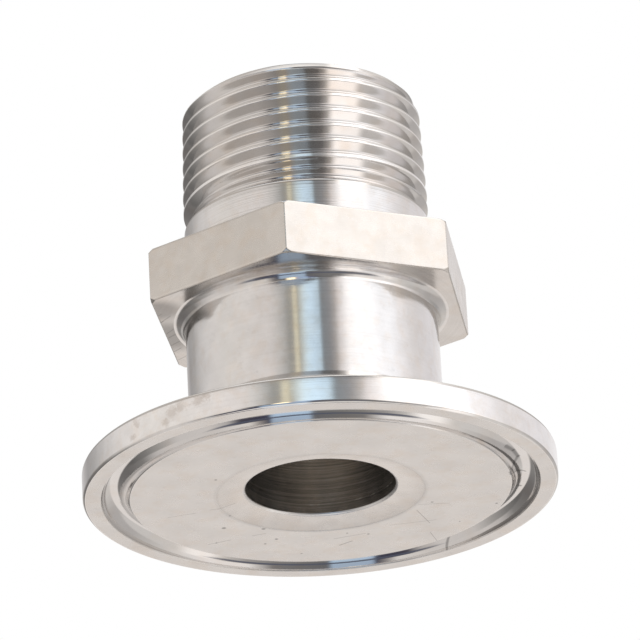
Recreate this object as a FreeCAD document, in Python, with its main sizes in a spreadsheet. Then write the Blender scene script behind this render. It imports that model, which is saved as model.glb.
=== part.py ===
import FreeCAD
import Part
import Sketcher
import os

# Sanitary clamp to tapered pipe thread adapter, turned and milled from one bar of steel.
# Millimetres. The gasket face is in the XY plane, centred on the origin, and the thread points up +Z.
# Flange and neck are below, the spanner hexagon is in the middle, and the collar and thread are above.

os.makedirs("parts", exist_ok=True)
doc = FreeCAD.newDocument("adapter")

NEAR = 0.001        # two edges this close are at the same place
FULL_TURN = 360
UPSIDE_DOWN = 180

# Each size that a maker would choose, with what it measures.
SIZES = [
    ("flange_dia", 50.5, "across the clamp flange"),
    ("rim_height", 3.0, "straight edge of the flange"),
    ("rim_edge", 0.3, "broken edges of the rim"),
    ("back_angle", 20, "slope of the clamped back of the flange, in degrees"),
    ("back_root", 1.2, "hollow where the back meets the neck, along each"),
    ("groove_inset", 3.435, "from the rim in to the middle of the gasket groove"),
    ("groove_width", 2.93, "across the gasket groove at the face"),
    ("groove_floor", 1.3, "across the floor of the gasket groove"),
    ("groove_depth", 1.45, "of the gasket groove"),
    ("mouth_width", 3.15, "ring of the shallow countersink round the bore"),
    ("mouth_depth", 0.7, "of the countersink"),
    ("bore_dia", 16.0, "clear bore, right through"),
    ("bore_edge", 0.2, "broken edge of the bore below"),
    ("bore_end_edge", 0.5, "broken edge of the bore at the thread's end"),
    ("neck_step", 0.35, "by which the neck stands out past the collar"),
    ("hex_bottom", 20.1, "from the gasket face to the underside of the hexagon"),
    ("hex_height", 6.0, "thickness of the hexagon"),
    ("hex_shoulder", 2.4, "step from the neck out to a flat of the hexagon"),
    ("hex_seat_radius", 1.2, "hollow under the hexagon"),
    ("hex_corner_radius", 0.2, "rounding of the six upright corners"),
    ("hex_bevel", 0.4, "turned bevel, from a corner inward"),
    ("collar_dia", 26.5, "across the plain collar, and the thread's start"),
    ("collar_height", 5.35, "from the hexagon to the middle of the relief groove"),
    ("collar_edge", 0.3, "broken top edge of the collar"),
    ("collar_root", 0.4, "hollow where the collar meets the hexagon"),
    ("thread_length", 13.5, "from the middle of the relief groove to the end"),
    ("thread_pitch", 1.8143, "fourteen turns to the inch"),
    ("thread_angle", 55, "between the two flanks of a turn, in degrees"),
    ("thread_flat_share", 0.16667, "crest and root flats, as a share of the pitch"),
    ("taper_ratio", 0.0625, "loss of diameter over the length, one in sixteen"),
    ("taper_length", 10.25, "tapered part of the crests, from the end"),
    ("thread_end_edge", 1.0, "bevel that starts the thread"),
    ("thread_lead_in", 0.7184, "height above the end at which the cutter starts"),
    ("cutter_overreach", 0.7, "share of the cut off crest that the cutter stands above the bar"),
    ("relief_extra", 0.03, "by which the relief groove is deeper and wider than the thread"),
]

# Sizes that follow from those above.
DERIVED = [
    ("neck_dia", "collar_dia + 2 * neck_step"),
    ("hex_flats", "neck_dia + 2 * hex_shoulder"),
    ("hex_corner_dia", "hex_flats / cos(30 deg)"),
    ("hex_turned_radius", "hex_corner_dia / 2 - hex_bevel"),
    ("hex_top", "hex_bottom + hex_height"),
    ("back_top", "rim_height + (flange_dia - neck_dia) / 2 * tan(back_angle * 1 deg)"),
    ("groove_centre", "flange_dia / 2 - groove_inset"),
    ("relief_height", "hex_top + collar_height"),
    ("overall_height", "relief_height + thread_length"),
    ("taper_start", "overall_height - taper_length"),
    ("end_radius", "(collar_dia - taper_length * taper_ratio) / 2"),
    ("flank_slope", "tan(thread_angle / 2 * 1 deg)"),
    ("sharp_depth", "thread_pitch / 2 / flank_slope"),
    ("thread_depth", "sharp_depth * (1 - 2 * thread_flat_share)"),
    ("root_half", "thread_pitch * thread_flat_share / 2"),
    ("cutter_reach", "thread_depth + cutter_overreach * thread_flat_share * sharp_depth"),
    ("cutter_half", "root_half + cutter_reach * flank_slope"),
    ("path_top", "overall_height + thread_lead_in"),
    ("path_radius", "end_radius - thread_lead_in * taper_ratio / 2 - thread_depth"),
    ("path_height", "path_top - relief_height"),
    ("relief_root", "end_radius + thread_length * taper_ratio / 2 - thread_depth - relief_extra"),
    ("relief_root_half", "root_half + relief_extra"),
    ("relief_reach", "cutter_reach + relief_extra"),
    ("relief_half", "relief_root_half + relief_reach * flank_slope"),
    ("collar_top", "relief_height - relief_root_half - (collar_dia / 2 - relief_root) * flank_slope"),
]

sheet = doc.addObject("Spreadsheet::Sheet", "sizes")
for row, (name, value, note) in enumerate(SIZES, 1):
    sheet.set("A%d" % row, name)
    sheet.set("B%d" % row, str(value))
    sheet.set("C%d" % row, note)
    sheet.setAlias("B%d" % row, name)
for row, (name, formula) in enumerate(DERIVED, len(SIZES) + 1):
    sheet.set("A%d" % row, name)
    sheet.set("B%d" % row, "=" + formula)
    sheet.setAlias("B%d" % row, name)
doc.recompute()

body = doc.addObject("PartDesign::Body", "adapter_body")
body.Label = "adapter_body"


def size(expression):
    """The present value of an expression in the sheet's names."""
    return float(sheet.evalExpression(expression))


def in_sheet(expression):
    """The same expression as an object outside the sheet has to write it."""
    words = expression.split()
    names = {name for name, *rest in SIZES + DERIVED}
    return " ".join("sizes." + word if word in names else word for word in words)


def sketch_on(role, name):
    """An empty sketch on one of the body's own origin planes. XZ_Plane has radius across and height up."""
    sketch = body.newObject("Sketcher::SketchObject", name)
    sketch.AttachmentSupport = [(next(p for p in body.Origin.OriginFeatures if p.Role == role), "")]
    sketch.MapMode = "FlatFace"
    return sketch


def hold(sketch, kind, geometry, end, expression):
    """Keeps one point of a sketch at a distance across or up from the origin."""
    if expression == "0":
        axis = -2 if kind == "DistanceX" else -1
        sketch.addConstraint(Sketcher.Constraint("PointOnObject", geometry, end, axis))
        return
    place = Sketcher.Constraint(kind, -1, 1, geometry, end, size(expression))
    sketch.setExpression("Constraints[%d]" % sketch.addConstraint(place), in_sheet(expression))


def outline(sketch, corners):
    """A closed outline of straight edges whose corners are (radius, height) expressions."""
    points = [FreeCAD.Vector(size(across), size(up), 0) for across, up in corners]
    edges = []
    for start, end in zip(points, points[1:] + points[:1]):
        edges.append(sketch.addGeometry(Part.LineSegment(start, end), False))
    for edge, following in zip(edges, edges[1:] + edges[:1]):
        sketch.addConstraint(Sketcher.Constraint("Coincident", edge, 2, following, 1))
    for edge, (across, up) in zip(edges, corners):
        hold(sketch, "DistanceX", edge, 1, across)
        hold(sketch, "DistanceY", edge, 1, up)


def turned(kind, sketch, name):
    """Turns a profile about the upright axis, as material or as a cut."""
    doc.recompute()
    before = body.Shape.Volume if body.Tip else 0
    feature = body.newObject(kind, name)
    feature.Profile = sketch
    feature.ReferenceAxis = (sketch, ["V_Axis"])
    feature.Angle = FULL_TURN
    doc.recompute()
    gained = feature.Shape.Volume > before
    if gained != (kind == "PartDesign::Revolution"):
        raise ValueError(name + " works the wrong way")
    return feature


def ring(feature, radius, height):
    """The circular edge round the axis at a radius and height."""
    for number, edge in enumerate(feature.Shape.Edges, 1):
        round_edge = isinstance(edge.Curve, Part.Circle)
        if round_edge and abs(edge.Curve.Radius - radius) < NEAR and abs(edge.Curve.Center.z - height) < NEAR:
            return "Edge%d" % number
    raise ValueError("no edge at radius %.3f and height %.3f" % (radius, height))


def dressed(kind, base, edges, amount, name):
    """A fillet or a bevel of one named size on some edges."""
    feature = body.newObject(kind, name)
    feature.Base = (base, edges)
    feature.setExpression("Radius" if kind == "PartDesign::Fillet" else "Size", in_sheet(amount))
    doc.recompute()
    return feature


# Bar turned to the outside of the flange, neck, collar and tapered end. The neck steps down to the
# collar inside the hexagon.
blank_profile = sketch_on("XZ_Plane", "blank_profile")
outline(blank_profile, [
    ("0", "0"),
    ("flange_dia / 2", "0"),
    ("flange_dia / 2", "rim_height"),
    ("neck_dia / 2", "back_top"),
    ("neck_dia / 2", "hex_bottom + hex_height / 2"),
    ("collar_dia / 2", "hex_bottom + hex_height / 2"),
    ("collar_dia / 2", "taper_start"),
    ("end_radius", "overall_height"),
    ("0", "overall_height"),
])
blank = turned("PartDesign::Revolution", blank_profile, "turned_blank")

# Spanner hexagon with a corner on -Y.
hexagon = sketch_on("XY_Plane", "hexagon")
hexagon.setExpression("AttachmentOffset.Base.z", "sizes.hex_bottom")
reach = size("hex_corner_dia / 2")
circle = hexagon.addGeometry(Part.Circle(FreeCAD.Vector(0, 0, 0), FreeCAD.Vector(0, 0, 1), reach), True)
hexagon.addConstraint(Sketcher.Constraint("Coincident", circle, 3, -1, 1))
across_corners = hexagon.addConstraint(Sketcher.Constraint("Diameter", circle, 2 * reach))
hexagon.setExpression("Constraints[%d]" % across_corners, "sizes.hex_corner_dia")
corner = FreeCAD.Vector(0, -reach, 0)
sixth = FreeCAD.Rotation(FreeCAD.Vector(0, 0, 1), FULL_TURN / 6)
sides = []
for side in range(6):
    following = sixth.multVec(corner)
    sides.append(hexagon.addGeometry(Part.LineSegment(corner, following), False))
    corner = following
for side, following in zip(sides, sides[1:] + sides[:1]):
    hexagon.addConstraint(Sketcher.Constraint("Coincident", side, 2, following, 1))
    hexagon.addConstraint(Sketcher.Constraint("PointOnObject", side, 1, circle))
for side in sides[1:]:
    hexagon.addConstraint(Sketcher.Constraint("Equal", sides[0], side))
hexagon.addConstraint(Sketcher.Constraint("PointOnObject", sides[0], 1, -2))
spanner = body.newObject("PartDesign::Pad", "spanner_hexagon")
spanner.Profile = hexagon
spanner.setExpression("Length", "sizes.hex_height")
doc.recompute()

# The six upright corners are rounded, then turned to a bevel above and below.
uprights = []
for number, edge in enumerate(spanner.Shape.Edges, 1):
    first, last = edge.Vertexes[0].Point, edge.Vertexes[-1].Point
    flat = FreeCAD.Vector(first.x, first.y, 0)
    if abs(flat.Length - reach) < NEAR and abs(first.z - last.z) > NEAR:
        uprights.append("Edge%d" % number)
rounded = dressed("PartDesign::Fillet", spanner, uprights, "hex_corner_radius", "hexagon_corners")
bevel_profile = sketch_on("XZ_Plane", "hexagon_bevel_profile")
for level, inward in (("hex_top", "hex_top - 2 * hex_bevel"), ("hex_bottom", "hex_bottom + 2 * hex_bevel")):
    outline(bevel_profile, [
        ("hex_turned_radius", level),
        ("hex_turned_radius + 2 * hex_bevel", level),
        ("hex_turned_radius + 2 * hex_bevel", inward),
    ])
bevelled = turned("PartDesign::Groove", bevel_profile, "hexagon_bevel")

# Hollows left by the turning tool at the flange, under the hexagon and at the collar, and the rim's edges.
back_root = ring(bevelled, size("neck_dia / 2"), size("back_top"))
flange_root = dressed("PartDesign::Chamfer", bevelled, [back_root], "back_root", "flange_root")
seat = ring(flange_root, size("neck_dia / 2"), size("hex_bottom"))
hex_seat = dressed("PartDesign::Fillet", flange_root, [seat], "hex_seat_radius", "hexagon_seat")
foot = ring(hex_seat, size("collar_dia / 2"), size("hex_top"))
collar_foot = dressed("PartDesign::Chamfer", hex_seat, [foot], "collar_root", "collar_foot")
rim = [ring(collar_foot, size("flange_dia / 2"), size(level)) for level in ("0", "rim_height")]
dressed("PartDesign::Chamfer", collar_foot, rim, "rim_edge", "rim_edges")

# Gasket groove with sloping walls and a flat floor.
groove_profile = sketch_on("XZ_Plane", "gasket_groove_profile")
outline(groove_profile, [
    ("groove_centre - groove_width / 2", "0"),
    ("groove_centre + groove_width / 2", "0"),
    ("groove_centre + groove_floor / 2", "groove_depth"),
    ("groove_centre - groove_floor / 2", "groove_depth"),
])
turned("PartDesign::Groove", groove_profile, "gasket_groove")

# Shallow countersunk mouth, then the bore from the face to the far end.
mouth_profile = sketch_on("XZ_Plane", "mouth_profile")
outline(mouth_profile, [
    ("0", "0"),
    ("bore_dia / 2 + mouth_width", "0"),
    ("bore_dia / 2", "mouth_depth"),
    ("0", "mouth_depth"),
])
mouth = turned("PartDesign::Groove", mouth_profile, "mouth")
bore_profile = sketch_on("XY_Plane", "bore_profile")
radius = size("bore_dia / 2")
circle = bore_profile.addGeometry(Part.Circle(FreeCAD.Vector(0, 0, 0), FreeCAD.Vector(0, 0, 1), radius), False)
bore_profile.addConstraint(Sketcher.Constraint("Coincident", circle, 3, -1, 1))
across = bore_profile.addConstraint(Sketcher.Constraint("Diameter", circle, 2 * radius))
bore_profile.setExpression("Constraints[%d]" % across, "sizes.bore_dia")
doc.recompute()
bore = body.newObject("PartDesign::Pocket", "bore")
bore.Profile = bore_profile
bore.Type = "ThroughAll"
bore.Reversed = True
doc.recompute()
if bore.Shape.Volume >= mouth.Shape.Volume:
    raise ValueError("the bore works the wrong way")

# Broken edges of the bore, and the bevel that starts the thread.
edge = ring(bore, radius, size("mouth_depth"))
near_end = dressed("PartDesign::Chamfer", bore, [edge], "bore_edge", "bore_edge_below")
edge = ring(near_end, radius, size("overall_height"))
far_end = dressed("PartDesign::Chamfer", near_end, [edge], "bore_end_edge", "bore_edge_above")
edge = ring(far_end, size("end_radius"), size("overall_height"))
thread_start = dressed("PartDesign::Chamfer", far_end, [edge], "thread_end_edge", "thread_start")

# Relief groove of the thread's own form, where the thread ends, with the collar's edge broken.
relief_profile = sketch_on("XZ_Plane", "relief_profile")
outline(relief_profile, [
    ("relief_root", "relief_height - relief_root_half"),
    ("relief_root + relief_reach", "relief_height - relief_half"),
    ("relief_root + relief_reach", "relief_height + relief_half"),
    ("relief_root", "relief_height + relief_root_half"),
])
relief = turned("PartDesign::Groove", relief_profile, "relief_groove")
edge = ring(relief, size("collar_dia / 2"), size("collar_top"))
collar = dressed("PartDesign::Chamfer", relief, [edge], "collar_edge", "collar_edge")

# Right-hand taper thread. The path runs down the roots on their cone, from above the end to the
# relief groove, and carries the space between two turns.
path = doc.addObject("Part::Helix", "thread_path")
path.SegmentLength = 1
path.setExpression("Pitch", "sizes.thread_pitch")
path.setExpression("Height", "sizes.path_height")
path.setExpression("Radius", "sizes.path_radius")
path.setExpression("Angle", "atan(sizes.taper_ratio / 2)")
path.Placement = FreeCAD.Placement(
    FreeCAD.Vector(0, 0, size("path_top")),
    FreeCAD.Rotation(FreeCAD.Vector(1, 0, 0), UPSIDE_DOWN),
)
path.setExpression("Placement.Base.z", "sizes.path_top")
doc.recompute()
spine = body.newObject("PartDesign::SubShapeBinder", "thread_spine")
spine.Support = [(path, "")]
space_profile = sketch_on("XZ_Plane", "thread_space_profile")
outline(space_profile, [
    ("path_radius", "path_top - root_half"),
    ("path_radius + cutter_reach", "path_top - cutter_half"),
    ("path_radius + cutter_reach", "path_top + cutter_half"),
    ("path_radius", "path_top + root_half"),
])
doc.recompute()
thread = body.newObject("PartDesign::SubtractivePipe", "taper_thread")
thread.Profile = space_profile
thread.Spine = (spine, [])
thread.Mode = "Frenet"
doc.recompute()
if thread.Shape.Volume >= collar.Shape.Volume:
    raise ValueError("the thread isn't cut")
body.Tip = thread
doc.recompute()

# The part is written only if each step of it came out whole.
for item in doc.Objects:
    if "Invalid" in item.State or "Error" in item.State:
        raise ValueError(item.Name + " failed")
shape = body.Shape
if shape.isNull() or not shape.isValid() or len(shape.Solids) != 1:
    raise ValueError("the adapter isn't one valid solid")
shape.exportStep("parts/adapter_body.step")
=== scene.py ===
import math

import bmesh
import bpy
import numpy as np
from mathutils import Matrix, Vector


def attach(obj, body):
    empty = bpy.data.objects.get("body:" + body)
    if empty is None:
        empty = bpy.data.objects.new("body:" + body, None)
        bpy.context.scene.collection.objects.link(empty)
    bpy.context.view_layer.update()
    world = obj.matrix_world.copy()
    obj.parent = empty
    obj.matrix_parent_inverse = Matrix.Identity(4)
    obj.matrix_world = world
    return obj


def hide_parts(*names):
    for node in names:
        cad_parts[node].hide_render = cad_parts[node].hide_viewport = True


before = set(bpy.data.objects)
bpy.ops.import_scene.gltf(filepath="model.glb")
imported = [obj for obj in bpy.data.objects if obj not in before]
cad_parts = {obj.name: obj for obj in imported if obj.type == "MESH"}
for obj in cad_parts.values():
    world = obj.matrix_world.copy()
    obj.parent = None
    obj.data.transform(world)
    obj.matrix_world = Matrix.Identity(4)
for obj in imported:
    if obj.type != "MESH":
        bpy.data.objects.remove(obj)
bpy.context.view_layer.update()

MM = 0.001

# Sizes of the part in millimetres, as its source has them.
FLANGE_R = 25.25
RIM_HEIGHT = 3.0
RIM_EDGE = 0.3
BACK_ANGLE = 20
BACK_SLOPE = math.tan(math.radians(BACK_ANGLE))
BACK_ROOT_R = 1.6
GROOVE_R = 21.815
GROOVE_HALF = 1.465
GROOVE_DEPTH = 1.44
LIP_EDGE = 0.13
MOUTH_R = 11.15
MOUTH_DEPTH = 0.7
BORE_R = 8.0
BORE_EDGE = 0.2
BORE_END_EDGE = 0.5
NECK_R = 13.6
SEAT_R = 1.2
HEX_BOTTOM = 20.1
HEX_TOP = 26.1
HEX_APOTHEM = 16.0
HEX_CORNER_ROUND = 0.2
HEX_TURNED_R = 18.075
HEX_EDGE = 0.16
COLLAR_R = 13.25
COLLAR_FOOT = 0.5
COLLAR_EDGE = 0.32
RELIEF_Z = 31.45
RELIEF_EXTRA = 0.03
TOP = 44.95
END_R = 12.93
END_EDGE = 1.0
TAPER = 1 / 32
PITCH = 1.8143
FLANK = math.radians(27.5)
THREAD_DEPTH = 1.162
ROOT_ROUND = 0.249
CREST_HALF = 0.151
CREST_ROUND = 0.12
CREST_DEPTH = 0.12      # the brighter band on each crest, a painted highlight, reaches this far down its flanks
ROOT_AT_X = 31.154      # height of a root on the +X side

# How the mesh is laid out, in millimetres and degrees.
COLUMN_STEP = 1.5
CORNER_COLUMNS = (-0.8, -0.45, -0.31, -0.15, 0.15, 0.31, 0.45, 0.8)
EDGE_GAP = 0.05         # least gap between a rounded edge and the rings beside it
RIM_GAP = 0.04          # the same between the face and the rim's edge
WALL_GAP = 0.1          # and at the ends of the neck and the bore
FLANK_GAPS = (0.03, 0.02)   # and at the two ends of the relief groove's lower side
BORE_LIP_RUN = 0.24     # rounding between the bore and the mouth, outward
BORE_LIP_DROP = 0.05    # and downward
MOUTH_START_RUN = 0.3   # first ring of the mouth past that rounding
MOUTH_START_DROP = 0.064
MOUTH_EDGE_RUN = 0.1
MOUTH_EDGE_RISE = 0.022
LIP_LEAN = 0.01         # the gasket groove's lips lean this far into it
GROOVE_ARC = (172, 8)   # part of its circle that the gasket groove takes up
BACK_EDGE = 0.28
BACK_START = 0.35       # the back's first ring is this far in from the rim
EDGE_SWELL = 0.29       # how far a rounded edge stands out past a chamfer, as a share of its size
RUNOUT_REACH = 1.1
RUNOUT_STEPS = 2200
MERGE = 2e-7            # corners this close are one, in metres

# Materials by the band of surface they are on.
BANDS = ["face", "mouth", "groove", "rim", "back", "neck", "hex_under", "hex_side", "hex_top",
         "collar", "thread", "wear_and_highlight", "end", "bore"]


# columns of the mesh, closer together at the hexagon's corners
def column_angles():
    angles = set(np.round(np.arange(0, 360, COLUMN_STEP), 3))
    for corner in range(30, 360, 60):
        angles |= {round(corner + off, 3) for off in CORNER_COLUMNS}
    return np.array(sorted(angles))


PHI = column_angles()
COLUMNS = len(PHI)
ONE = np.ones(COLUMNS)
rings = []      # (radius per column, height per column, band up to the next ring)


def ring(radius, height, band):
    rings.append((radius * ONE, height * ONE, BANDS.index(band)))


def line(start, end, steps, band):
    """Rings from start up to, but without, end."""
    for t in np.linspace(0, 1, steps, endpoint=False):
        ring(start[0] + (end[0] - start[0]) * t, start[1] + (end[1] - start[1]) * t, band)


def arc(centre, radius, first, last, steps, band):
    """Rings on an arc, angles in degrees from outward to upward, with its end."""
    for t in np.radians(np.linspace(first, last, steps + 1)):
        ring(centre[0] + radius * math.cos(t), centre[1] + radius * math.sin(t), band)


def bend(start, corner, end, steps, band):
    """Rings on a smooth curve that leaves start and reaches end, both towards corner."""
    for t in np.linspace(0, 1, steps + 1):
        a, b, c = (1 - t) ** 2, 2 * t * (1 - t), t * t
        ring(a * start[0] + b * corner[0] + c * end[0], a * start[1] + b * corner[1] + c * end[1], band)


# mouth, face, groove and rim
bend((BORE_R, MOUTH_DEPTH + BORE_EDGE), (BORE_R, MOUTH_DEPTH),
     (BORE_R + BORE_LIP_RUN, MOUTH_DEPTH - BORE_LIP_DROP), 4, "end")
mouth_start = (BORE_R + MOUTH_START_RUN, MOUTH_DEPTH - MOUTH_START_DROP)
mouth_end = (MOUTH_R - MOUTH_EDGE_RUN, MOUTH_EDGE_RISE)
line(mouth_start, mouth_end, 6, "mouth")
bend(mouth_end, (MOUTH_R, 0), (MOUTH_R + MOUTH_EDGE_RUN, 0), 2, "face")
inner_lip, outer_lip = GROOVE_R - GROOVE_HALF, GROOVE_R + GROOVE_HALF
line((MOUTH_R + 2 * MOUTH_EDGE_RUN, 0), (inner_lip - LIP_EDGE - EDGE_GAP, 0), 8, "face")
bend((inner_lip - LIP_EDGE, 0), (inner_lip, 0), (inner_lip + LIP_LEAN, LIP_EDGE), 4, "groove")
GROOVE_ROUND = (GROOVE_HALF ** 2 + GROOVE_DEPTH ** 2) / (2 * GROOVE_DEPTH)
arc((GROOVE_R, GROOVE_DEPTH - GROOVE_ROUND), GROOVE_ROUND, *GROOVE_ARC, 16, "groove")
bend((outer_lip - LIP_LEAN, LIP_EDGE), (outer_lip, 0), (outer_lip + LIP_EDGE, 0), 4, "face")
line((outer_lip + LIP_EDGE + EDGE_GAP, 0), (FLANGE_R - RIM_EDGE - RIM_GAP, 0), 3, "face")
arc((FLANGE_R - RIM_EDGE, RIM_EDGE), RIM_EDGE, -90, 0, 6, "rim")
line((FLANGE_R, RIM_EDGE + EDGE_GAP), (FLANGE_R, RIM_HEIGHT - RIM_EDGE), 4, "rim")
bend((FLANGE_R, RIM_HEIGHT - RIM_EDGE), (FLANGE_R, RIM_HEIGHT),
     (FLANGE_R - BACK_EDGE, RIM_HEIGHT + BACK_EDGE * BACK_SLOPE), 4, "back")
back_top = RIM_HEIGHT + (FLANGE_R - NECK_R) * BACK_SLOPE
root_run = BACK_ROOT_R * math.tan(math.radians((90 - BACK_ANGLE) / 2))
slope_end = (NECK_R + root_run * math.cos(math.radians(BACK_ANGLE)),
             back_top - root_run * math.sin(math.radians(BACK_ANGLE)))
line((FLANGE_R - BACK_START, RIM_HEIGHT + BACK_START * BACK_SLOPE),
     (slope_end[0] + EDGE_GAP, slope_end[1] - EDGE_GAP * BACK_SLOPE), 7, "back")
arc((NECK_R + BACK_ROOT_R, back_top + root_run), BACK_ROOT_R, 270 - BACK_ANGLE, 180, 7, "neck")

# neck and the seat under the hexagon
line((NECK_R, back_top + root_run + WALL_GAP), (NECK_R, HEX_BOTTOM - SEAT_R - WALL_GAP), 8, "neck")
arc((NECK_R + SEAT_R, HEX_BOTTOM - SEAT_R), SEAT_R, 180, 90, 9, "neck")

# hexagon
off = np.abs((PHI - 30) % 60)
off = np.radians(np.minimum(off, 60 - off))
flat_r = HEX_APOTHEM / np.cos(math.pi / 6 - off)
round_c = (HEX_APOTHEM - HEX_CORNER_ROUND) / math.cos(math.pi / 6)
under_root = np.maximum(HEX_CORNER_ROUND ** 2 - (round_c * np.sin(off)) ** 2, 0)
round_r = round_c * np.cos(off) + np.sqrt(under_root)
tangent = math.atan2(HEX_CORNER_ROUND / 2, round_c + HEX_CORNER_ROUND * math.cos(math.pi / 6))
HEX_R = np.where(off < tangent, round_r, flat_r)
CUT = np.maximum(HEX_EDGE, HEX_R - HEX_TURNED_R)
BULGE = EDGE_SWELL * HEX_EDGE * np.minimum(1, HEX_EDGE / CUT)


def hex_edge(level, away, band):
    """The hexagon's edge at its underside, away 1, or at its top, away -1. It is rounded and has a turned
    bevel at the corners."""
    for t in np.linspace(0, 1, 5)[::away]:
        swell = BULGE * math.sin(math.pi * t) / math.sqrt(2)
        ring(HEX_R - CUT * (1 - t) + swell, level + away * (CUT * t - swell), band)


for t in np.linspace(0.02, 0.98, 7):
    start = NECK_R + SEAT_R
    ring(start + (HEX_R - CUT - start) * t, HEX_BOTTOM, "hex_under")
hex_edge(HEX_BOTTOM, 1, "hex_side")
for t in np.linspace(0.03, 0.97, 6):
    low, high = HEX_BOTTOM + CUT, HEX_TOP - CUT
    ring(HEX_R, low + (high - low) * t, "hex_side")
hex_edge(HEX_TOP, -1, "hex_top")
for t in np.linspace(0.02, 0.98, 6):
    start = COLLAR_R + COLLAR_FOOT
    ring(HEX_R - CUT + (start - HEX_R + CUT) * t, HEX_TOP, "hex_top")
arc((COLLAR_R + COLLAR_FOOT, HEX_TOP + COLLAR_FOOT), COLLAR_FOOT, 270, 180, 5, "collar")

# collar, its broken edge and the relief groove
RELIEF_ROUND = ROOT_ROUND + RELIEF_EXTRA
RELIEF_ROOT = END_R + (TOP - RELIEF_Z) * TAPER - THREAD_DEPTH - RELIEF_EXTRA
ARC_END = math.pi / 2 - FLANK


def rise(distance, rounding):
    """How far a groove's wall stands above its floor at a distance along the axis from its middle."""
    distance = np.abs(distance)
    turn = rounding * math.sin(ARC_END)
    on_arc = rounding - np.sqrt(np.maximum(rounding ** 2 - np.minimum(distance, turn) ** 2, 0))
    return on_arc + np.maximum(distance - turn, 0) / math.tan(FLANK)


reach = COLLAR_R - RELIEF_ROOT - rise(RELIEF_ROUND * math.sin(ARC_END), RELIEF_ROUND)
corner_z = RELIEF_Z - RELIEF_ROUND * math.sin(ARC_END) - reach * math.tan(FLANK)
line((COLLAR_R, HEX_TOP + COLLAR_FOOT + EDGE_GAP),
     (COLLAR_R, corner_z - COLLAR_EDGE - EDGE_GAP), 6, "collar")
bend((COLLAR_R, corner_z - COLLAR_EDGE), (COLLAR_R, corner_z),
     (COLLAR_R - COLLAR_EDGE * math.cos(FLANK), corner_z + COLLAR_EDGE * math.sin(FLANK)), 5, "thread")
low_flank = RELIEF_Z - RELIEF_ROUND * math.sin(ARC_END)
first_z = corner_z + COLLAR_EDGE * math.sin(FLANK)
for z in np.linspace(first_z + FLANK_GAPS[0], low_flank - FLANK_GAPS[1], 4):
    ring(RELIEF_ROOT + float(rise(z - RELIEF_Z, RELIEF_ROUND)), z, "thread")


# thread: one section of a turn, as offsets from the middle of a root and depths below the crests
def turn_section():
    half = [(ROOT_ROUND * math.sin(t), THREAD_DEPTH - ROOT_ROUND * (1 - math.cos(t)))
            for t in np.linspace(0, ARC_END, 5)]
    crest = PITCH / 2 - CREST_HALF
    back_off = CREST_ROUND * math.tan(ARC_END / 2)
    last = (crest - back_off * math.sin(FLANK), back_off * math.cos(FLANK))
    for t in (0.33, 0.67):
        half.append(tuple(np.array(half[4]) * (1 - t) + np.array(last) * t))
    for t in np.linspace(0, 1, 4):
        a, b, c = (1 - t) ** 2, 2 * t * (1 - t), t * t
        half.append((a * last[0] + b * crest + c * (crest + back_off), a * last[1]))
    mirrored = [(-across, depth) for across, depth in half[:0:-1]]
    return np.array(mirrored + half + [(PITCH / 2, 0.0)])


SECTION = turn_section()
PER_TURN = len(SECTION)
TURNS = range(-1, 9)


def cone_r(z):
    return END_R + (TOP - z) * TAPER


def thread_r(z, roots):
    """Radius of the thread's section at heights z, where roots is the height of a root in that column."""
    across = (z - roots + PITCH / 2) % PITCH - PITCH / 2
    depth = np.interp(across, np.r_[-PITCH / 2, SECTION[:, 0]], np.r_[0, SECTION[:, 1]])
    return np.minimum(cone_r(z) - depth, COLLAR_R)


def relief_r(z):
    return RELIEF_ROOT + rise(z - RELIEF_Z, RELIEF_ROUND)


roots = ROOT_AT_X + PITCH * PHI / 360
look = np.linspace(RELIEF_Z, RELIEF_Z + RUNOUT_REACH, RUNOUT_STEPS)
inside = relief_r(look)[None, :] < thread_r(look[None, :], roots[:, None])
runout = look[len(look) - 1 - np.argmax(inside[:, ::-1], axis=1)]
start = RELIEF_Z + RELIEF_ROUND * math.sin(ARC_END)
for z in np.linspace(low_flank, start, 9):
    height = np.minimum(z, runout)
    ring(relief_r(height), height, "thread")
for t in (0.25, 0.5, 0.75, 1.0):
    height = np.minimum(start, runout) + np.maximum(runout - start, 0) * t
    ring(relief_r(height), height, "thread")
lower_rings = len(rings)

spiral = []
for turn in TURNS:
    for across, depth in SECTION:
        height = np.clip(roots + turn * PITCH + across, runout, TOP)
        radius = np.where(height <= runout, relief_r(runout), thread_r(height, roots))
        radius = np.minimum(radius, END_R - END_EDGE + (TOP - height))
        spiral.append((radius, height))
end_radius = spiral[-1][0]

# end face, and the bore back down to the mouth
upper = len(rings)
for t in (0.3, 0.65, 1.0):
    ring(end_radius + (BORE_R + BORE_END_EDGE - end_radius) * t, TOP, "end")
bend((BORE_R + BORE_END_EDGE, TOP), (BORE_R + BORE_END_EDGE / 2, TOP - BORE_END_EDGE / 2),
     (BORE_R, TOP - BORE_END_EDGE), 3, "bore")
line((BORE_R, TOP - BORE_END_EDGE - WALL_GAP), (BORE_R, MOUTH_DEPTH + BORE_EDGE + WALL_GAP), 8, "bore")


# one closed mesh from all the rings
def place(radius, height):
    angle = np.radians(PHI)
    return np.stack([radius * np.cos(angle), radius * np.sin(angle), height], axis=1) * MM


points = [place(radius, height) for radius, height, band in rings]
points += [place(radius, height) for radius, height in spiral]
verts = np.concatenate(points)
faces, face_bands = [], []


def stitch(low, high, band, low_shift=None, high_shift=None):
    """Quads between two rings, given by their first vertices. The shifted ones meet the last column."""
    for col in range(COLUMNS):
        following = (col + 1) % COLUMNS
        low_next, high_next = (low, high) if following else (low_shift or low, high_shift or high)
        faces.append((low + col, low_next + following, high_next + following, high + col))
        face_bands.append(band)


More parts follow.
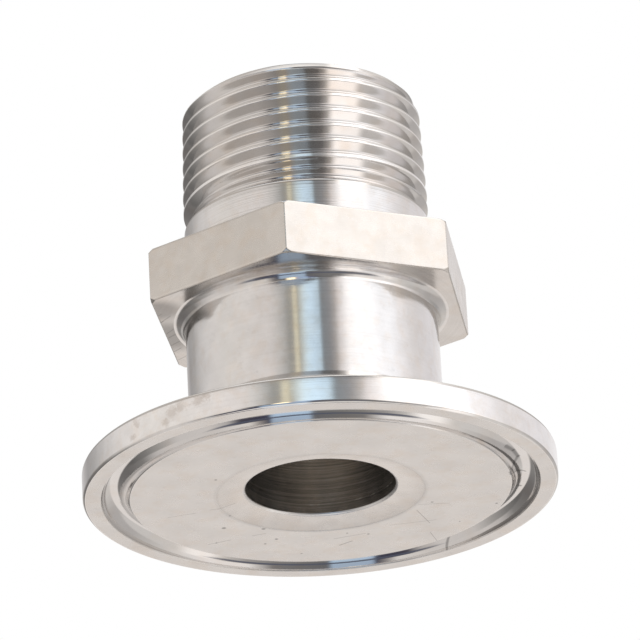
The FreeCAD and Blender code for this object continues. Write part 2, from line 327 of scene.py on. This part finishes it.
for number in range(len(rings)):
    if number == lower_rings - 1:
        continue
    after = (number + 1) % len(rings)
    stitch(number * COLUMNS, after * COLUMNS, rings[number][2])
first = len(rings) * COLUMNS
rows = len(spiral)
for row in range(rows - 1):
    low, high = first + row * COLUMNS, first + (row + 1) * COLUMNS
    shifted = [first + min(row + step + PER_TURN, rows - 1) * COLUMNS for step in (0, 1)]
    # the crests take the brighter material: a painted highlight
    on_crest = max(SECTION[row % PER_TURN, 1], SECTION[(row + 1) % PER_TURN, 1]) < CREST_DEPTH
    stitch(low, high, BANDS.index("wear_and_highlight" if on_crest else "thread"), shifted[0], shifted[1])
# the first and last rows of the spiral lie on the rings beside them
stitch((lower_rings - 1) * COLUMNS, first, BANDS.index("thread"))
stitch(first + (rows - 1) * COLUMNS, upper * COLUMNS, BANDS.index("end"))

mesh = bpy.data.meshes.new("adapter")
mesh.from_pydata(verts.tolist(), [], faces)
mesh.polygons.foreach_set("material_index", face_bands)
adapter = bpy.data.objects.new("adapter", mesh)
bpy.context.scene.collection.objects.link(adapter)

work = bmesh.new()
work.from_mesh(mesh)
bmesh.ops.remove_doubles(work, verts=work.verts, dist=MERGE)
bmesh.ops.dissolve_degenerate(work, dist=MERGE, edges=work.edges)
bmesh.ops.recalc_face_normals(work, faces=work.faces)
loose = [v for v in work.verts if not v.link_faces]
bmesh.ops.delete(work, geom=loose, context="VERTS")
open_edges = sum(1 for e in work.edges if len(e.link_faces) != 2)
print("adapter", len(work.verts), "vertices", len(work.faces), "faces")
print("adapter", open_edges, "edges not between two faces")
work.to_mesh(mesh)
work.free()
mesh.update()


# normals weighted by area, so that flats stay flat beside small rounded edges
def smooth(target):
    count, total = len(target.vertices), len(target.polygons)
    normals, areas = np.zeros(total * 3), np.zeros(total)
    target.polygons.foreach_get("normal", normals)
    target.polygons.foreach_get("area", areas)
    corners, sizes = np.zeros(len(target.loops), int), np.zeros(total, int)
    target.loops.foreach_get("vertex_index", corners)
    target.polygons.foreach_get("loop_total", sizes)
    weighted = np.repeat(normals.reshape(-1, 3) * areas[:, None], sizes, axis=0)
    summed = np.zeros((count, 3))
    np.add.at(summed, corners, weighted)
    summed /= np.maximum(np.linalg.norm(summed, axis=1, keepdims=True), 1e-20)
    target.shade_smooth()
    target.normals_split_custom_set_from_vertices(summed.tolist())


smooth(mesh)

AROUND = math.radians(7.0)      # how far round the photograph is from square on to a hexagon corner


def turned(x, y, z):
    """A direction or place given as right, away and up from the photograph, in the part's own frame."""
    cos, sin = math.cos(AROUND), math.sin(AROUND)
    return Vector((x * cos - y * sin, x * sin + y * cos, z))


class Nodes:
    """Short ways to add and join nodes of one tree."""

    def __init__(self, tree):
        self.tree = tree
        tree.nodes.clear()

    def add(self, kind, inputs=(), **settings):
        node = self.tree.nodes.new(kind)
        for name, value in settings.items():
            setattr(node, name, value)
        for name, value in dict(inputs).items():
            if isinstance(value, bpy.types.NodeSocket):
                self.tree.links.new(value, node.inputs[name])
            else:
                node.inputs[name].default_value = value
        return node

    def math(self, operation, first, second=0.0, third=0.0, clamp=False):
        inputs = {0: first, 1: second, 2: third}
        return self.add("ShaderNodeMath", inputs, operation=operation, use_clamp=clamp).outputs[0]

    def vector(self, operation, first, second=(0, 0, 0), scale=1.0):
        inputs = {0: first, "Scale": scale} if operation == "SCALE" else {0: first, 1: second}
        node = self.add("ShaderNodeVectorMath", inputs, operation=operation)
        return node.outputs["Value" if operation in ("DOT_PRODUCT", "LENGTH") else 0]

    def noise(self, place, scale, detail=2.0, rough=0.5):
        inputs = {"Vector": place, "Scale": scale, "Detail": detail, "Roughness": rough}
        return self.add("ShaderNodeTexNoise", inputs).outputs["Fac"]

    def span(self, value, low, high, to_low=0.0, to_high=1.0, kind="SMOOTHSTEP"):
        inputs = {"Value": value, "From Min": low, "From Max": high, "To Min": to_low, "To Max": to_high}
        return self.add("ShaderNodeMapRange", inputs, interpolation_type=kind).outputs[0]

    def mix(self, amount, first, second):
        node = self.add("ShaderNodeMix", {0: amount, 6: first, 7: second}, data_type="RGBA")
        return node.outputs[2]

    def combine(self, x, y, z):
        return self.add("ShaderNodeCombineXYZ", {0: x, 1: y, 2: z}).outputs[0]


# Marks, in millimetres: specks and darker patches as x, y and a radius, scratches between two points with a
# width.
SPECKS = [
    (20.6, 7.1, 0.22), (17.9, 7.9, 0.16), (18.3, 9.2, 0.2), (11.2, 5.7, 0.16), (3.3, 13.3, 0.16),
    (8.3, 18.8, 0.16), (-11.6, 7.3, 0.26), (-10.2, -6.8, 0.16), (-7.5, 8.7, 0.24), (-6.6, 12.1, 0.2),
    (-8.0, 13.2, 0.16), (-13.1, 11.5, 0.14), (1.1, 12.4, 0.13), (-10.4, 3.9, 0.12), (-4.6, 17.2, 0.13),
    (13.4, 12.2, 0.11),
]
SCRATCHES = [
    (11.0, 20.5, 12.6, 16.8, 0.13), (9.3, 7.6, 10.2, 11.8, 0.045), (5.9, 11.3, 11.0, 11.0, 0.035),
    (9.9, 14.5, 10.5, 18.7, 0.04), (20.4, -5.2, 21.0, -3.5, 0.22), (21.0, -3.5, 21.3, -1.6, 0.2),
    (21.3, -1.6, 20.4, -0.1, 0.26), (20.3, -0.7, 20.7, 1.7, 0.2), (20.7, 1.7, 21.6, 3.1, 0.12),
    (-12.2, 1.6, -9.3, 1.3, 0.04), (9.7, 6.0, 13.0, 6.5, 0.04), (-0.2, 15.8, 1.3, 14.9, 0.08),
    (-14.0, 11.7, -11.4, 11.0, 0.05), (-16.9, 2.6, -13.8, 2.1, 0.04),
    (-0.5, 13.7, 3.0, 13.0, 0.05), (-9.0, 10.4, -7.5, 10.1, 0.05),
]
# darker patches on the -x side of the hexagon's underside
UNDER_DARK_PATCHES = [(-16.4, 0.5, 4.2), (-15.6, -6.5, 2.6)]
UNDER_SCRATCHES = [
    (-17.2, 2.2, -14.9, 0.2, 0.10), (-16.9, 4.0, -14.8, 2.2, 0.07), (-16.5, 0.6, -14.9, -1.2, 0.07),
    (-17.4, -1.6, -15.6, -3.6, 0.09), (-16.2, -3.0, -14.6, -4.8, 0.07), (-16.8, -4.4, -15.4, -5.6, 0.06),
    (-16.6, 5.6, -14.9, 4.0, 0.08), (-16.0, 7.4, -14.4, 6.1, 0.06),
]
# Smudges on the rim, as x, y, z and a radius.
SMUDGES = [
    (-12.3, -22.1, 1.7, 0.55), (-11.2, -22.6, 2.1, 0.45), (-9.1, -23.6, 2.3, 0.5), (-8.3, -23.9, 2.5, 0.35),
    (-16.4, -19.2, 2.2, 0.35), (-12.9, -21.7, 0.9, 0.3), (-16.9, -18.8, 0.8, 0.3),
]
# Where a mark's edge starts and ends, as shares of its radius or width.
SPECK_FADE = (0.5, 1.3)
SCRATCH_FADE = (0.3, 1.4)
SMUDGE_FADE = (0.2, 2.2)
SMUDGE_CLEAN = 0.45         # how clean the rim is in the middle of a smudge
RAGGED = 2.4                # how far a smudge's outline wanders, in millimetres
MOUTH_LINE = 0.91           # painted shade: tone left on the mouth's edge
MOUTH_RUN = 2.6             # width of the ring of painted shade inside that edge
MOUTH_SHADE = -0.09
SCRATCH_LIGHTER = 0.1       # a scratch is this much lighter than a speck


def marks_and_mouth_shade(n, place, tone, spots_and_patches, scratches, darkest):
    """Darkens a tone at the round spots and patches, along the scratches, and with painted shade along and
    inside the mouth's edge.
    """
    flat = n.vector("MULTIPLY", place, (1, 1, 0))
    for x, y, radius in spots_and_patches:
        away = n.vector("LENGTH", n.vector("SUBTRACT", flat, (x, y, 0)))
        tone = n.math("MULTIPLY", tone, n.span(away, *(radius * f for f in SPECK_FADE), darkest, 1.0))
    for x0, y0, x1, y1, width in scratches:
        along = Vector((x1 - x0, y1 - y0, 0))
        from_start = n.vector("SUBTRACT", flat, (x0, y0, 0))
        part_way = n.vector("DOT_PRODUCT", from_start, tuple(along / along.length_squared))
        share = n.math("MULTIPLY", part_way, 1.0, clamp=True)
        nearest = n.vector("SCALE", tuple(along), scale=share)
        away = n.vector("LENGTH", n.vector("SUBTRACT", from_start, nearest))
        shown = n.span(away, *(width * f for f in SCRATCH_FADE), SCRATCH_LIGHTER + darkest, 1.0)
        tone = n.math("MULTIPLY", tone, shown)
    # painted shade: a darker line along the mouth's edge and a darker ring inside it
    radius = n.vector("LENGTH", flat)
    off_edge = n.math("ABSOLUTE", n.math("SUBTRACT", radius, MOUTH_R))
    tone = n.math("MULTIPLY", tone, n.span(off_edge, 0.05, 0.45, MOUTH_LINE, 1.0))
    nearing = n.span(radius, MOUTH_R - MOUTH_RUN, MOUTH_R - 0.3)
    in_mouth = n.math("MULTIPLY", nearing, n.span(radius, MOUTH_R, MOUTH_R - 0.1))
    return n.math("MULTIPLY", tone, n.math("MULTIPLY_ADD", in_mouth, MOUTH_SHADE, 1.0))


def smudged(n, place):
    """How clean the rim is: falls below 1 in soft, ragged smudges."""
    uneven = n.noise(place, 1.1, detail=3.0, rough=0.7)
    ragged = n.math("MULTIPLY", n.math("SUBTRACT", uneven, 0.5), RAGGED)
    clean = 1.0
    for x, y, z, radius in SMUDGES:
        away = n.math("ADD", n.vector("LENGTH", n.vector("SUBTRACT", place, (x, y, z))), ragged)
        shown = n.span(away, *(radius * f for f in SMUDGE_FADE), SMUDGE_CLEAN, 1.0)
        clean = n.math("MULTIPLY", clean, shown)
    return clean


RING_DRIFT = 0.02           # how little the turned marks change along their length
MILL_DRIFT = 0.08
MARK_HEIGHT = 0.01 * MM     # the bump of the tool marks


def steel(name, color, roughness, anisotropy=0.0, marks="rings", mark_size=0.25, mark_depth=0.5,
          stain=0.06, cloud_size=6.0, spots=0.0, spread=0.05, ringed=None, marks_and_shade=None, smudges=False,
          flattened=0.0):
    """Stainless steel with tool marks. Rings run round the axis, faced marks are circles on a flat face
    and milled marks run level along a side of the hexagon. Flattened turns the shading of a cone towards
    that of a flat face."""
    material = bpy.data.materials.new(name)
    material.use_nodes = True
    n = Nodes(material.node_tree)
    shader = n.add("ShaderNodeBsdfPrincipled", {"Metallic": 1.0, "Anisotropic": anisotropy,
                                                "Anisotropic Rotation": 0.25})
    n.add("ShaderNodeOutputMaterial", {"Surface": shader.outputs[0]})
    place = n.vector("SCALE", n.add("ShaderNodeTexCoord").outputs["Object"], scale=1 / MM)
    split = n.add("ShaderNodeSeparateXYZ", {0: place})
    x, y, z = split.outputs
    radius = n.vector("LENGTH", n.combine(x, y, 0.0))
    drift = MILL_DRIFT if marks == "milled" else RING_DRIFT
    along_x, along_y = n.math("MULTIPLY", x, drift), n.math("MULTIPLY", y, drift)
    if marks == "faced":
        along = n.combine(n.math("DIVIDE", radius, mark_size), along_x, along_y)
    else:
        along = n.combine(along_x, along_y, n.math("DIVIDE", z, mark_size))
    fine = n.noise(along, 1.0, detail=3.0, rough=0.6)
    cloud = n.noise(place, 1 / cloud_size, detail=3.0, rough=0.55)
    tone = n.span(cloud, 0.3, 0.7, 1 - stain, 1 + stain * 0.4)
    contrast = spread * 0.6 if ringed is None else ringed
    tone = n.math("MULTIPLY", tone, n.span(fine, 0.25, 0.75, 1 - contrast, 1 + contrast, "LINEAR"))
    if spots:
        speck = n.noise(place, 0.9, detail=2.0, rough=0.7)
        tone = n.math("MULTIPLY", tone, n.span(speck, 0.58, 0.74, 1.0, 1 - spots))
    if marks_and_shade:
        # marks from the lists, and painted shade round the mouth
        tone = marks_and_mouth_shade(n, place, tone, *marks_and_shade)
    brown = n.span(n.noise(place, 1.6 / cloud_size, detail=2.0, rough=0.6), 0.42, 0.72)
    tint = n.mix(brown, (*color, 1), tuple(c * t for c, t in zip(color, BROWN)) + (1,))
    if smudges:
        tint = n.mix(smudged(n, place), (*SMUDGE, 1), tint)
    n.tree.links.new(n.vector("SCALE", tint, scale=tone), shader.inputs["Base Color"])
    wear_and_highlight = n.noise(place, 0.5, detail=3.0, rough=0.6)
    rough = n.math("ADD", n.span(wear_and_highlight, 0.3, 0.7, roughness * 0.85, roughness * 1.15),
                   n.span(fine, 0.2, 0.8, -spread, spread, "LINEAR"), clamp=True)
    n.tree.links.new(rough, shader.inputs["Roughness"])
    bump = n.add("ShaderNodeBump", {"Height": fine, "Strength": mark_depth, "Distance": MARK_HEIGHT})
    if flattened:
        normal = n.vector("SCALE", n.add("ShaderNodeNewGeometry").outputs["Normal"], scale=1 - flattened)
        normal = n.vector("NORMALIZE", n.vector("ADD", normal, (0, 0, -flattened)))
        n.tree.links.new(normal, bump.inputs["Normal"])
    n.tree.links.new(bump.outputs[0], shader.inputs["Normal"])
    if anisotropy:
        tangent = n.add("ShaderNodeTangent", direction_type="RADIAL", axis="Z")
        n.tree.links.new(tangent.outputs[0], shader.inputs["Tangent"])
    return material


SMUDGE = (0.60, 0.545, 0.50)        # the rim's colour under a smudge
BROWN = (0.985, 0.955, 0.925)       # what a brown stain leaves of each colour
WARM = (0.785, 0.768, 0.75)
COOL = (0.80, 0.79, 0.785)
FACE_MARKS = (SPECKS, SCRATCHES, 0.45)
LOOKS = {
    "face": dict(color=WARM, roughness=0.30, marks="faced", mark_size=0.9, mark_depth=0.0, spread=0.02,
                 spots=0.05, stain=0.06, cloud_size=4.0, marks_and_shade=FACE_MARKS),
    "mouth": dict(color=(0.79, 0.765, 0.74), roughness=0.26, marks="faced", mark_size=0.5, mark_depth=0.0,
                  spread=0.03, stain=0.05, marks_and_shade=FACE_MARKS, flattened=0.55),
    "groove": dict(color=COOL, roughness=0.08, marks="faced", mark_size=0.12, stain=0.03, spread=0.02,
                   marks_and_shade=FACE_MARKS),
    "rim": dict(color=(0.88, 0.87, 0.865), roughness=0.07, spread=0.02, anisotropy=0.5, stain=0.06,
                cloud_size=2.0, mark_size=0.12, smudges=True),
    "back": dict(color=COOL, roughness=0.18, anisotropy=0.4, marks="faced", mark_size=0.2),
    "neck": dict(color=COOL, roughness=0.12, spread=0.02, ringed=0.03, anisotropy=0.8, mark_size=0.3,
                 stain=0.05, cloud_size=2.5, spots=0.05),
    "hex_under": dict(color=(0.72, 0.70, 0.68), roughness=0.18, spread=0.03, ringed=0.05, marks="faced",
                      mark_size=0.3, marks_and_shade=(UNDER_DARK_PATCHES, UNDER_SCRATCHES, 0.55)),
    "hex_side": dict(color=(0.765, 0.735, 0.70), roughness=0.28, marks="milled", mark_size=0.22,
                     mark_depth=0.1, stain=0.04, cloud_size=3.0),
    "hex_top": dict(color=COOL, roughness=0.2, marks="faced", mark_size=0.18),
    "collar": dict(color=COOL, roughness=0.07, spread=0.02, anisotropy=0.6, mark_size=0.15, stain=0.05,
                   cloud_size=2.5),
    "thread": dict(color=COOL, roughness=0.09, spread=0.02, anisotropy=0.3, mark_size=0.08, mark_depth=0.2),
    # the thread's crests: a brighter colour as a painted highlight
    "wear_and_highlight": dict(color=(0.95, 0.94, 0.93), roughness=0.10, spread=0.02, anisotropy=0.3, mark_size=0.08,
                 mark_depth=0.2),
    "end": dict(color=(0.84, 0.83, 0.82), roughness=0.3, marks="faced", mark_size=0.3),
    "bore": dict(color=(0.83, 0.805, 0.77), roughness=0.22, anisotropy=0.5, mark_size=0.22, mark_depth=0.3,
                 spread=0.06, ringed=0.35),
}
for band in BANDS:
    mesh.materials.append(steel("steel_" + band, **LOOKS[band]))

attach(adapter, "root")
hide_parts("adapter_body")

# camera at the photograph's place, in millimetres from the middle of the gasket face
DISTANCE = 536.47
BELOW = math.radians(21.41)
AIM = (0.916, 20.003)           # to the right and up
ROLL = math.radians(-3.153)
LENS = 284.5
NEAREST, FARTHEST = 0.01, 10    # of what the camera sees, in metres

eye = turned(0, -DISTANCE * math.cos(BELOW), -DISTANCE * math.sin(BELOW))
target = turned(AIM[0], 0, AIM[1])
ahead = (target - eye).normalized()
side = ahead.cross(Vector((0, 0, 1))).normalized()
above = side.cross(ahead)
side, above = (side * math.cos(ROLL) + above * math.sin(ROLL),
               above * math.cos(ROLL) - side * math.sin(ROLL))
camera = bpy.data.objects.new("camera", bpy.data.cameras.new("camera"))
bpy.context.scene.collection.objects.link(camera)
camera.data.lens = LENS
camera.data.clip_start, camera.data.clip_end = NEAREST, FARTHEST
facing = Matrix((side, above, -ahead)).transposed().to_4x4()
camera.matrix_world = Matrix.Translation(eye * MM) @ facing
bpy.context.scene.camera = camera

# Studio: what the steel mirrors, by direction round the object from the photograph's side.
# Each list goes round at one level, as degrees to the right of the camera and a colour.
WINDOW_LEVEL = [
    (-180, (0.78, 0.76, 0.76)), (-165, (0.58, 0.56, 0.555)), (-150, (0.38, 0.365, 0.36)),
    (-136, (0.46, 0.445, 0.435)), (-124, (0.64, 0.615, 0.60)), (-112, (0.75, 0.72, 0.70)),
    (-100, (0.82, 0.78, 0.75)), (-85, (0.85, 0.81, 0.77)), (-42, (0.85, 0.80, 0.77)),
    (-36, (0.82, 0.77, 0.74)), (-30, (0.72, 0.69, 0.66)), (-24, (0.54, 0.53, 0.51)),
    (-20, (0.36, 0.36, 0.34)), (-18, (0.40, 0.39, 0.36)), (-15, (0.80, 0.75, 0.58)),
    (-12.5, (0.76, 0.71, 0.55)), (-10.5, (0.48, 0.47, 0.40)), (-8, (0.76, 0.85, 0.85)),
    (-4, (0.81, 1.00, 1.12)), (0, (0.79, 0.99, 1.15)), (7, (0.66, 0.82, 0.94)), (9, (0.28, 0.31, 0.33)),
    (16, (0.34, 0.34, 0.35)), (21, (0.54, 0.51, 0.49)), (25, (0.94, 0.88, 0.86)),
    (34, (1.24, 1.22, 1.22)), (42, (1.32, 1.32, 1.34)), (74, (1.25, 1.25, 1.28)),
    (88, (1.06, 1.03, 1.04)), (102, (0.88, 0.84, 0.83)), (130, (0.84, 0.81, 0.82)),
    (180, (0.92, 0.90, 0.90)),
]
BELOW_WINDOW = [
    (-180, (0.56, 0.54, 0.52)), (-165, (0.40, 0.38, 0.37)), (-150, (0.28, 0.27, 0.26)),
    (-138, (0.33, 0.315, 0.30)), (-125, (0.42, 0.40, 0.38)), (-100, (0.78, 0.73, 0.69)),
    (-45, (0.80, 0.75, 0.70)), (-36, (0.62, 0.58, 0.55)), (-32, (0.20, 0.19, 0.18)),
    (-21, (0.14, 0.14, 0.14)), (-19, (2.3, 1.9, 1.2)), (-13, (2.3, 1.9, 1.2)), (-11, (0.60, 0.44, 0.42)),
    (-9, (0.40, 0.50, 0.68)), (-2, (0.38, 0.50, 0.70)), (0, (0.16, 0.17, 0.26)), (8, (0.15, 0.15, 0.16)),
    (20, (0.20, 0.19, 0.18)), (26, (0.60, 0.56, 0.54)), (33, (1.50, 1.45, 1.42)),
    (72, (1.60, 1.53, 1.50)), (84, (1.25, 1.19, 1.16)), (96, (0.95, 0.90, 0.88)),
    (118, (0.58, 0.55, 0.53)), (140, (0.42, 0.405, 0.39)), (155, (0.40, 0.385, 0.38)),
    (166, (0.55, 0.53, 0.51)), (180, (0.66, 0.63, 0.60)),
]
TABLE_SIDE = [
    (-180, (0.26, 0.25, 0.24)), (-162, (0.19, 0.18, 0.175)), (-148, (0.17, 0.16, 0.155)),
    (-126, (0.24, 0.23, 0.22)), (-112, (0.56, 0.53, 0.51)), (-98, (0.70, 0.66, 0.63)),
    (-60, (0.70, 0.66, 0.63)), (-40, (0.80, 0.76, 0.72)), (-34, (0.34, 0.32, 0.31)),
    (-28, (0.06, 0.06, 0.09)), (-26, (0.40, 0.50, 0.64)), (-4, (0.42, 0.53, 0.67)),
    (-2, (0.15, 0.15, 0.155)), (28, (0.22, 0.21, 0.205)), (42, (0.92, 0.88, 0.85)),
    (64, (0.96, 0.91, 0.88)), (80, (0.85, 0.81, 0.78)), (100, (0.64, 0.61, 0.58)),
    (125, (0.50, 0.475, 0.46)), (155, (0.50, 0.475, 0.46)), (180, (0.68, 0.65, 0.62)),
]
TABLE = [
    (-180, (0.50, 0.475, 0.455)), (-162, (0.13, 0.125, 0.12)), (-136, (0.14, 0.135, 0.13)),
    (-120, (0.24, 0.23, 0.22)), (-104, (0.42, 0.40, 0.38)), (-90, (0.66, 0.625, 0.60)),
    (-66, (0.70, 0.66, 0.63)), (-54, (0.50, 0.475, 0.46)), (-46, (0.07, 0.065, 0.085)),
    (-28, (0.05, 0.05, 0.085)), (-26, (0.50, 0.64, 0.82)), (-4, (0.50, 0.65, 0.82)),
    (-2, (0.15, 0.15, 0.155)), (28, (0.26, 0.25, 0.24)), (42, (0.38, 0.36, 0.35)),
    (54, (0.62, 0.59, 0.56)), (64, (1.10, 1.05, 1.01)), (76, (1.10, 1.05, 1.01)),
    (88, (0.72, 0.69, 0.66)), (125, (0.66, 0.63, 0.605)), (165, (0.70, 0.67, 0.64)),
    (180, (0.74, 0.70, 0.67)),
]
ABOVE_WINDOW = [
    (-180, (0.30, 0.29, 0.28)), (-150, (0.22, 0.21, 0.205)), (-130, (0.36, 0.345, 0.33)),
    (-110, (0.49, 0.46, 0.435)), (-95, (0.55, 0.515, 0.48)), (-45, (0.54, 0.50, 0.465)),
    (-34, (0.47, 0.44, 0.415)), (-24, (0.36, 0.34, 0.325)), (-17, (0.42, 0.38, 0.31)),
    (-12, (0.40, 0.36, 0.31)), (-8, (0.36, 0.40, 0.43)), (4, (0.30, 0.34, 0.38)), (8, (0.15, 0.15, 0.15)),
    (20, (0.18, 0.17, 0.165)), (27, (0.50, 0.47, 0.44)), (33, (1.60, 1.52, 1.46)),
    (57, (1.62, 1.54, 1.48)), (65, (0.80, 0.76, 0.73)), (90, (0.66, 0.63, 0.60)),
    (122, (0.50, 0.475, 0.455)), (150, (0.42, 0.40, 0.39)), (180, (0.36, 0.345, 0.335)),
]
UNDER = (0.86, 0.82, 0.78)
OVERHEAD = (0.94, 0.92, 0.90)
# The panels above and below the window's level, with the heights where each sets in and has taken over.
# A height is the upward part of a direction, from -1 to 1.
LEVELS = [
    (ABOVE_WINDOW, 0.42, 0.46), (BELOW_WINDOW, 0.28, 0.18), (TABLE_SIDE, -0.03, -0.10), (TABLE, -0.44, -0.50),
]
PLAIN_LEVELS = [(UNDER, -0.86, -0.96), (OVERHEAD, 0.78, 0.92)]
# The table's edge towards the camera, a dark line. Each pair is where a fade starts and ends.
TABLE_EDGE = (0.10, 0.11, 0.15)
TABLE_EDGE_LEVEL = -0.62
OFF_EDGE = (0.10, 0.07)
EDGE_IN_FRONT = (0.15, 0.4)
EDGE_STRENGTH = 0.9
# The floor straight behind the part, which the gasket face mirrors, with its fades.
FAR_FLOOR = (0.85, 0.80, 0.765)
FAR_BEHIND = (-0.60, -0.75)
FAR_ASIDE = (0.24, 0.16)
FAR_LOW = (-0.68, -0.58)
FAR_HIGH = (0.26, 0.16)


def ramp(n, fraction, stops):
    """Colours that run from stop to stop all the way round."""
    node = n.add("ShaderNodeValToRGB", {"Fac": fraction})
    elements = node.color_ramp.elements
    while len(elements) < len(stops):
        elements.new(0.5)
    for element, (angle, _) in zip(elements, stops):
        element.position = (angle + 180) / 360
    for element, (_, color) in zip(elements, stops):
        element.color = (*color, 1)
    return node.outputs[0]


world = bpy.data.worlds.new("studio")
bpy.context.scene.world = world
world.use_nodes = True
n = Nodes(world.node_tree)
direction = n.add("ShaderNodeTexCoord").outputs["Generated"]
to_camera = turned(0, -1, 0)
to_right = turned(1, 0, 0)
front = n.vector("DOT_PRODUCT", direction, tuple(to_camera))
right = n.vector("DOT_PRODUCT", direction, tuple(to_right))
height = n.add("ShaderNodeSeparateXYZ", {0: direction}).outputs[2]
# a turned surface mirrors one place of the studio along each straight line up its side
half_angle = n.math("ARCTAN2", right, n.math("ADD", front, math.cos(BELOW)))
around = n.math("MULTIPLY_ADD", half_angle, 1 / math.pi, 0.5)
seen = ramp(n, around, WINDOW_LEVEL)
for panels, fades_from, fades_to in LEVELS:
    seen = n.mix(n.span(height, fades_from, fades_to), seen, ramp(n, around, panels))
off_edge = n.math("ABSOLUTE", n.math("SUBTRACT", height, TABLE_EDGE_LEVEL))
table_edge = n.span(off_edge, *OFF_EDGE, 0.0, EDGE_STRENGTH)
seen = n.mix(n.math("MULTIPLY", table_edge, n.span(front, *EDGE_IN_FRONT)), seen, (*TABLE_EDGE, 1))
aside = n.math("ABSOLUTE", right)
behind = n.math("MULTIPLY", n.span(front, *FAR_BEHIND), n.span(aside, *FAR_ASIDE))
between = n.math("MULTIPLY", n.span(height, *FAR_LOW), n.span(height, *FAR_HIGH))
seen = n.mix(n.math("MULTIPLY", behind, between), seen, (*FAR_FLOOR, 1))
for plain, fades_from, fades_to in PLAIN_LEVELS:
    seen = n.mix(n.span(height, fades_from, fades_to), seen, (*plain, 1))
rays = n.add("ShaderNodeLightPath")
color = n.mix(rays.outputs["Is Camera Ray"], seen, (1, 1, 1, 1))
background = n.add("ShaderNodeBackground", {"Color": color, "Strength": 1.0})
n.add("ShaderNodeOutputWorld", {"Surface": background.outputs[0]})

# pale floor under the flange, which is seen only from above
FLOOR_R = 0.6
FLOOR_SIDES = 96
FLOOR_DROP = 0.00002
FLOOR_COLOR = (0.9, 0.9, 0.9, 1)
FADE_START = 0.25       # share of the floor's radius from where it fades out
bpy.ops.mesh.primitive_circle_add(vertices=FLOOR_SIDES, radius=FLOOR_R, fill_type="NGON",
                                  location=(0, 0, -FLOOR_DROP))
floor = bpy.context.object
floor.name = "floor"
material = bpy.data.materials.new("floor")
material.use_nodes = True
n = Nodes(material.node_tree)
paper = n.add("ShaderNodeBsdfDiffuse", {"Color": FLOOR_COLOR})
clear = n.add("ShaderNodeBsdfTransparent")
backside = n.add("ShaderNodeNewGeometry").outputs["Backfacing"]
distance = n.vector("LENGTH", n.add("ShaderNodeTexCoord").outputs["Object"])
fade = n.span(distance, FLOOR_R * FADE_START, FLOOR_R)
under = n.math("LESS_THAN", distance, FLANGE_R * MM)
hidden = n.math("MAXIMUM", n.math("MAXIMUM", backside, under), fade)
cover = n.add("ShaderNodeMixShader", {0: hidden, 1: paper.outputs[0], 2: clear.outputs[0]})
n.add("ShaderNodeOutputMaterial", {"Surface": cover.outputs[0]})
floor.data.materials.append(material)
floor.visible_glossy = False        # the steel's underside mirrors the studio

bpy.context.scene.view_settings.view_transform = "Standard"
